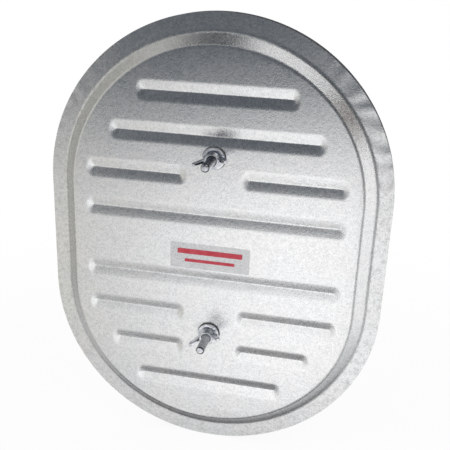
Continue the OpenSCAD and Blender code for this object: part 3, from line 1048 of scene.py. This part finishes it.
def studio_sky(level):
    """White all round to the camera; in metal, a room of greys with a white front and right."""
    f = Finish("studio_sky", world=True)
    towards = f.node("ShaderNodeTexCoord", output="Generated")
    x, y, z = f.split(towards, "XYZ")
    near_left = f.ramp(x, 0.0, -0.44)
    shown = f.mix(near_left, WHITE, (0.50, 0.495, 0.48))
    far_left = f.ramp(x, -0.45, -1.0)
    shown = f.mix(far_left, shown, (0.33, 0.325, 0.305))
    behind = f.ramp(y, 0.35, 0.75)
    far_right = f.ramp(x, 0.64, 0.82) * f.ramp(y, -0.32, -0.50)
    falling = f.mix(f.ramp(z, -0.40, 0.08), (0.86, 0.865, 0.87), (0.20, 0.205, 0.215))
    shown = f.mix(behind + far_right, shown, falling)
    steep = f.ramp(z, -0.46, -0.66)
    shown = f.mix(steep, shown, f.mix(near_left, (0.68, 0.69, 0.70), (0.45, 0.45, 0.45)))
    back_right = f.ramp(y, -0.06, 0.02) * f.ramp(x, -0.50, 0.15)
    underfoot = f.ramp(z, -0.70, -0.86) * (1.0 - back_right)
    shown = f.mix(underfoot, shown, (0.05, 0.05, 0.055))
    overhead = f.ramp(z, 0.74, 0.85) * f.ramp(x, -0.60, -0.34) * f.ramp(x, 0.12, -0.02)
    shown = f.mix(overhead, shown, (0.03, 0.034, 0.042))
    warm_side = {0: towards, 1: (0.857, -0.238, 0.455)}
    facing_warm = f.node("ShaderNodeVectorMath", {"operation": "DOT_PRODUCT"}, warm_side, "Value")
    shown = f.mix(f.ramp(facing_warm, 0.968, 0.986), shown, (0.09, 0.062, 0.046))
    front_right = f.ramp(x, 0.10, 0.22) * f.ramp(x, 0.84, 0.70) * f.ramp(y, -0.30, -0.45)
    gloom = f.mix(f.ramp(z, -0.45, 0.05), (0.50, 0.51, 0.51), (0.06, 0.065, 0.07))
    shown = f.mix(front_right, shown, gloom)
    glossy = f.node("ShaderNodeLightPath", output="Is Glossy Ray")
    strength = level.sky + (1.0 - level.sky) * seen_directly(f)
    light = f.node("ShaderNodeBackground", {}, {"Color": f.mix(glossy, WHITE, shown), "Strength": strength})
    f.node("ShaderNodeOutputWorld", {}, {"Surface": light})
    return f.block


def pale_floor(level):
    """Pale matt floor that reads white to the camera and keeps the door's shadow."""
    f = Finish("pale_floor")
    from_door = f.node("ShaderNodeVectorMath", {"operation": "LENGTH"}, {0: f.place()}, "Value")
    glow = level.floor_glow + (1.0 - level.floor_glow) * f.ramp(from_door, 0.3, 0.8)
    matt = f.node("ShaderNodeBsdfDiffuse", {}, {"Color": (*level.floor, 1.0)})
    white = f.node("ShaderNodeEmission", {}, {"Strength": 1.0})
    mixed = f.node("ShaderNodeMixShader", {}, {0: glow * seen_directly(f), 1: matt, 2: white})
    f.node("ShaderNodeOutputMaterial", {}, {"Surface": mixed})
    return f.block


def dull_card(level):
    """Card that only metal shows: dark above, white in the middle, grey below and to the left."""
    f = Finish("dull_card")
    across, height = f.split(f.place(), "XZ")
    bluish = [level.dark_card * c for c in (0.88, 1.0, 1.17)]
    grey = (0.54, 0.54, 0.54)
    shown = f.mix(f.ramp(across, 0.08, -0.31), WHITE, grey)
    shown = f.mix(f.ramp(across, -0.20, -0.245), shown, (0.605, 0.597, 0.565))
    shown = f.mix(f.ramp(height, -0.27, -0.45), shown, grey)
    shown = f.mix(f.ramp(height - 0.6 * across, -0.39, -0.49), shown, (0.22, 0.22, 0.225))
    above = f.ramp(height - 0.10 * across, -0.05, 0.175) * f.ramp(across, -0.42, -0.17)
    shown = f.mix(above, shown, bluish)
    glow = f.node("ShaderNodeEmission", {}, {"Color": shown, "Strength": 1.07})
    f.node("ShaderNodeOutputMaterial", {}, {"Surface": glow})
    return f.block


# Operators for the pieces


class DUCTDOOR_OT_pans(Operator):
    """Model the outer and the inner stamped pan"""

    bl_idname = "duct_door.pans"
    bl_label = "Stamped pans"

    def execute(self, context):
        pan = context.scene.duct_door_pan
        colours = context.scene.duct_door_colours
        sheet, edge = galvanised_sheet(colours), cut_steel(colours)
        for name, body, back, face, round_holes in (
                ("outer", "outer_door", PAN_HIGH.y, PAN_LOW.y, True),
                ("inner", "inner_door", INNER_LOW.y, INNER_HIGH.y, False)):
            piece = show(name + "_pan", stamp_pan(pan, back, face, round_holes), sheet, edge)
            wall = piece.modifiers.new("sheet", "SOLIDIFY")
            wall.thickness = pan.sheet
            wall.offset = -1.0
            wall.use_even_offset = True
            wall.material_offset_rim = 1
            fit(piece, name + "_panel", body)
        return {"FINISHED"}


class DUCTDOOR_OT_foam_rings(Operator):
    """Model the foam rings on the backs of the flanges"""

    bl_idname = "duct_door.foam_rings"
    bl_label = "Foam rings"

    def execute(self, context):
        foam = foam_rubber(context.scene.duct_door_colours)
        for name in ("outer", "inner"):
            ring = foam_ring(context.scene.duct_door_pan, *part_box(name + "_gasket"))
            piece = show(name + "_foam_ring", ring, foam)
            fit(piece, name + "_gasket", name + "_door")
        return {"FINISHED"}


class DUCTDOOR_OT_bolts(Operator):
    """Model the two carriage bolts"""

    bl_idname = "duct_door.bolts"
    bl_label = "Carriage bolts"

    def execute(self, context):
        size = context.scene.duct_door_hardware
        zinc = zinc_plate(context.scene.duct_door_colours)
        for name, side in SIDES:
            bm = carriage_bolt(size)
            set_on_bolt(bm, side, BOLT_HIGH.y - size.head_height)
            fit(show(name + "_carriage_bolt", bm, zinc), name + "_bolt", "inner_door")
        return {"FINISHED"}


class DUCTDOOR_OT_wing_nuts(Operator):
    """Model the two wing nuts"""

    bl_idname = "duct_door.wing_nuts"
    bl_label = "Wing nuts"

    def execute(self, context):
        size = context.scene.duct_door_hardware
        zinc = zinc_plate(context.scene.duct_door_colours)
        for (name, side), turn in zip(SIDES, (size.upper_turn, size.lower_turn)):
            bm = wing_nut(size)
            bmesh.ops.rotate(bm, cent=(0, 0, 0), matrix=Matrix.Rotation(turn, 3, "Z"), verts=bm.verts)
            set_on_bolt(bm, side, NUT_HIGH.y)
            piece = show(name + "_cast_nut", bm, zinc, smooth_below=180)
            cast = piece.modifiers.new("cast", "SUBSURF")
            cast.levels = 2
            cast.render_levels = 2
            fit(piece, name + "_wing_nut", name + "_nut")
        return {"FINISHED"}


class DUCTDOOR_OT_washers(Operator):
    """Model the flat washers and the rubber under them"""

    bl_idname = "duct_door.washers"
    bl_label = "Washers"

    def execute(self, context):
        size = context.scene.duct_door_hardware
        bore = context.scene.duct_door_pan.bolt_hole
        colours = context.scene.duct_door_colours
        zinc, rubber = zinc_plate(colours), black_rubber(colours)
        bulge, soft_edge = 0.3 * MM, 0.4 * MM
        for name, side in SIDES:
            low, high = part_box(name + "_flat_washer")
            flat = rounded_ring(bore, high.x, high.y - low.y, size.washer_edge)
            set_on_bolt(flat, side, high.y)
            piece = show(name + "_plain_washer", flat, zinc)
            fit(piece, name + "_flat_washer", "outer_door")
            low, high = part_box(name + "_seal_washer")
            soft = rounded_ring(size.seal_bore, high.x - bulge, high.y - low.y, soft_edge, bulge)
            set_on_bolt(soft, side, high.y)
            piece = show(name + "_rubber_washer", soft, rubber)
            fit(piece, name + "_seal_washer", "outer_door")
        return {"FINISHED"}


class DUCTDOOR_OT_bolt_seats(Operator):
    """Model the rubber under the bolt heads and the retainers on the bolts"""

    bl_idname = "duct_door.bolt_seats"
    bl_label = "Head seals and retainers"

    def execute(self, context):
        size = context.scene.duct_door_hardware
        hole = context.scene.duct_door_pan.neck_hole
        colours = context.scene.duct_door_colours
        rubber, steel = black_rubber(colours), spring_steel(colours)
        for name, side in SIDES:
            low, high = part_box(name + "_head_seal")
            soft = square_bore_seal(high.x, high.y - low.y, hole)
            set_on_bolt(soft, side, high.y)
            piece = show(name + "_head_rubber", soft, rubber)
            fit(piece, name + "_head_seal", "inner_door")
            low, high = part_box(name + "_bolt_retainer")
            grip = push_nut(size.nut_bore, high.x, high.y - low.y)
            set_on_bolt(grip, side, high.y)
            piece = show(name + "_push_nut", grip, steel)
            fit(piece, name + "_bolt_retainer", "inner_door")
        return {"FINISHED"}


class DUCTDOOR_OT_springs(Operator):
    """Model the conical springs between the pans"""

    bl_idname = "duct_door.springs"
    bl_label = "Springs"

    def execute(self, context):
        size = context.scene.duct_door_hardware
        steel = spring_steel(context.scene.duct_door_colours)
        for name, side in SIDES:
            low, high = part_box(name + "_spring")
            bm = coil_spring(size, high.y - low.y)
            set_on_bolt(bm, side, high.y)
            piece = show(name + "_coil_spring", bm, steel)
            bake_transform(piece)
            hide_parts(name + "_spring")
        return {"FINISHED"}


class DUCTDOOR_OT_label(Operator):
    """Finish the clear film and its two plain red bars"""

    bl_idname = "duct_door.label"
    bl_label = "Label"

    def execute(self, context):
        colours = context.scene.duct_door_colours
        film = show("clear_label", film_sheet(), clear_film(colours))
        wall = film.modifiers.new("film", "SOLIDIFY")
        wall.thickness = FILM_HIGH.y - FILM_LOW.y
        wall.offset = 1.0
        fit(film, "label_film", "outer_door")
        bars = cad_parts["label_print"]
        bars.data.materials.clear()
        bars.data.materials.append(red_print(colours))
        return {"FINISHED"}


STEPS = (DUCTDOOR_OT_stage, DUCTDOOR_OT_pans, DUCTDOOR_OT_foam_rings, DUCTDOOR_OT_bolts,
         DUCTDOOR_OT_wing_nuts, DUCTDOOR_OT_washers, DUCTDOOR_OT_bolt_seats, DUCTDOOR_OT_springs,
         DUCTDOOR_OT_label)
GROUPS = {"duct_door_pan": PanSizes, "duct_door_hardware": HardwareSizes,
          "duct_door_colours": DoorColours, "duct_door_stage": StageLevels}


class DUCTDOOR_PT_sidebar(Panel):
    """Lists the steps that make the door"""

    bl_idname = "DUCTDOOR_PT_sidebar"
    bl_label = "Duct door"
    bl_space_type = "VIEW_3D"
    bl_region_type = "UI"
    bl_category = "Duct door"

    def draw(self, context):
        for step in STEPS:
            self.layout.operator(step.bl_idname)
        for name, group in GROUPS.items():
            box = self.layout.box()
            for key in group.__annotations__:
                box.prop(getattr(context.scene, name), key)


CLASSES = (*GROUPS.values(), *STEPS, DUCTDOOR_PT_sidebar)


def register():
    for each in CLASSES:
        bpy.utils.register_class(each)
    for name, group in GROUPS.items():
        setattr(bpy.types.Scene, name, PointerProperty(type=group))


def unregister():
    for name in GROUPS:
        delattr(bpy.types.Scene, name)
    for each in reversed(CLASSES):
        bpy.utils.unregister_class(each)


def main():
    register()
    for step in STEPS:
        family, name = step.bl_idname.split(".")
        getattr(getattr(bpy.ops, family), name)()


if __name__ == "__main__":
    main()
